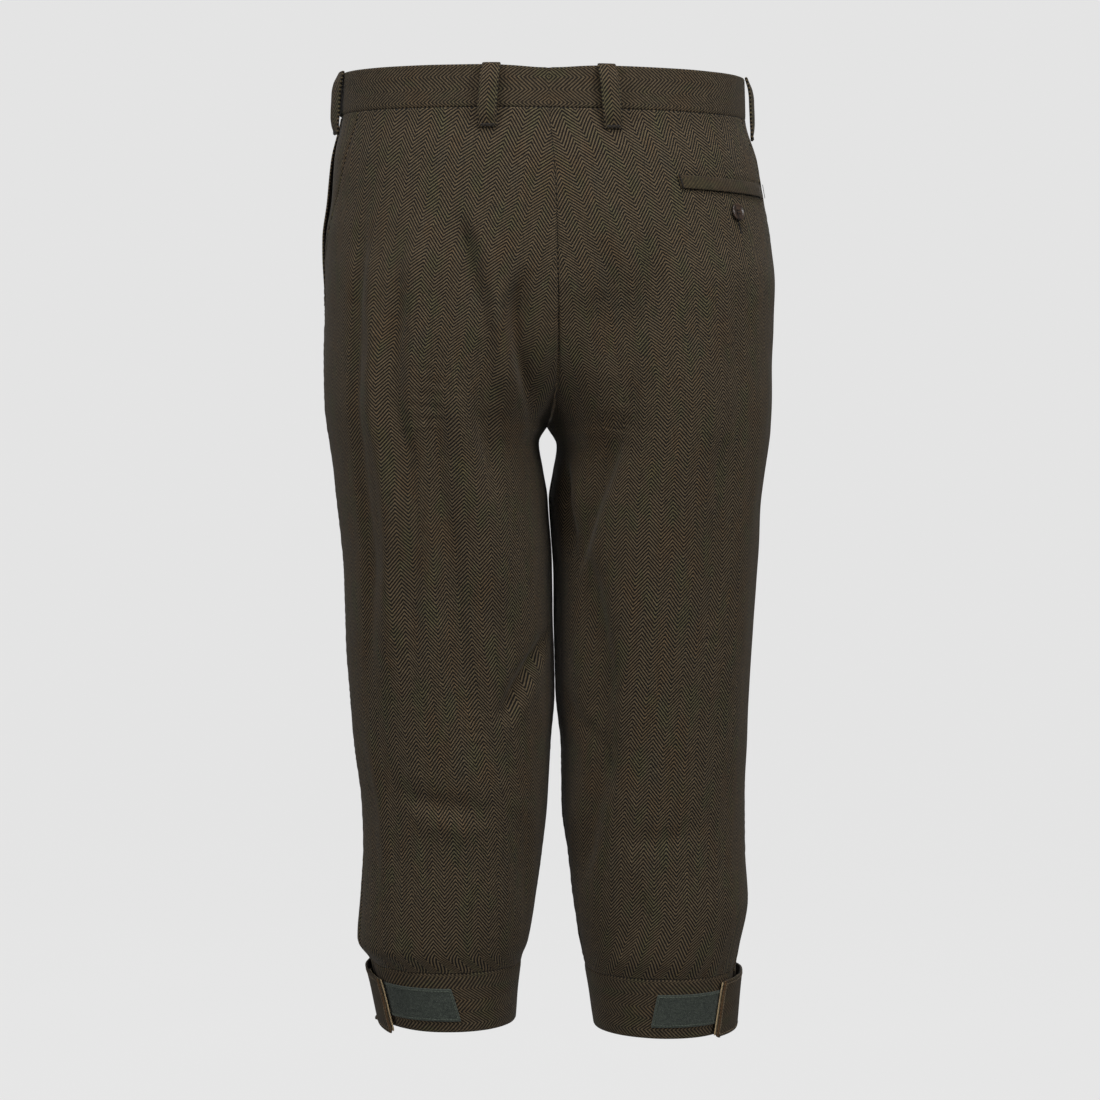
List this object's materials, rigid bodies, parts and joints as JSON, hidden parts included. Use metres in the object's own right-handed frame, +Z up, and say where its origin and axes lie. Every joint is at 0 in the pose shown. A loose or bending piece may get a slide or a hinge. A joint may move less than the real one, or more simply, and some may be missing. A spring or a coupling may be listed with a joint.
{
  "type": "tweed knee breeches",
  "caption": "Worn-shape tweed knee breeches: hollow waist and legs, belt loops, welt back pocket, cuffs closed by tabs on hook-and-loop tape.",
  "frame": {"origin": "centre of the waist ring, half way up the waistband", "axes": "+Z up; the wearer faces -Y, so the seat is +Y and +X is the wearer's left"},
  "size_m": [0.3836, 0.2697, 0.82],
  "materials": {
    "tweed": "dark olive-brown wool herringbone tweed, matt with a light nap",
    "tweed_dark": "the same tweed across the grain, reading darker",
    "loop_tape": "dark green looped nylon tape, matt",
    "hook_tape": "tan hooked tape with stitched edge",
    "button": "dark brown horn-look resin, satin"
  },
  "bodies": {
    "root": {"back_left": "tweed", "back_right": "tweed", "front_left": "tweed", "front_right": "tweed", "waistband_left": "tweed", "waistband_right": "tweed", "waist_tab": "tweed", "fly_placket": "tweed", "belt_loop_back_left": "tweed", "belt_loop_back_right": "tweed", "belt_loop_side_left": "tweed", "belt_loop_side_right": "tweed", "belt_loop_front_left": "tweed", "belt_loop_front_right": "tweed", "pocket_facing_left": "tweed", "pocket_facing_right": "tweed", "back_welt": "tweed_dark", "vent_underlap_left": "tweed", "vent_underlap_right": "tweed", "cuff_left": "tweed", "cuff_right": "tweed", "cuff_tab_left": "tweed_dark", "cuff_tab_right": "tweed_dark", "loop_tape_left": "loop_tape", "loop_tape_right": "loop_tape", "hook_tape_left": "hook_tape", "hook_tape_right": "hook_tape", "waist_button": "button", "back_pocket_button": "button"}
  },
  "joints": []
}
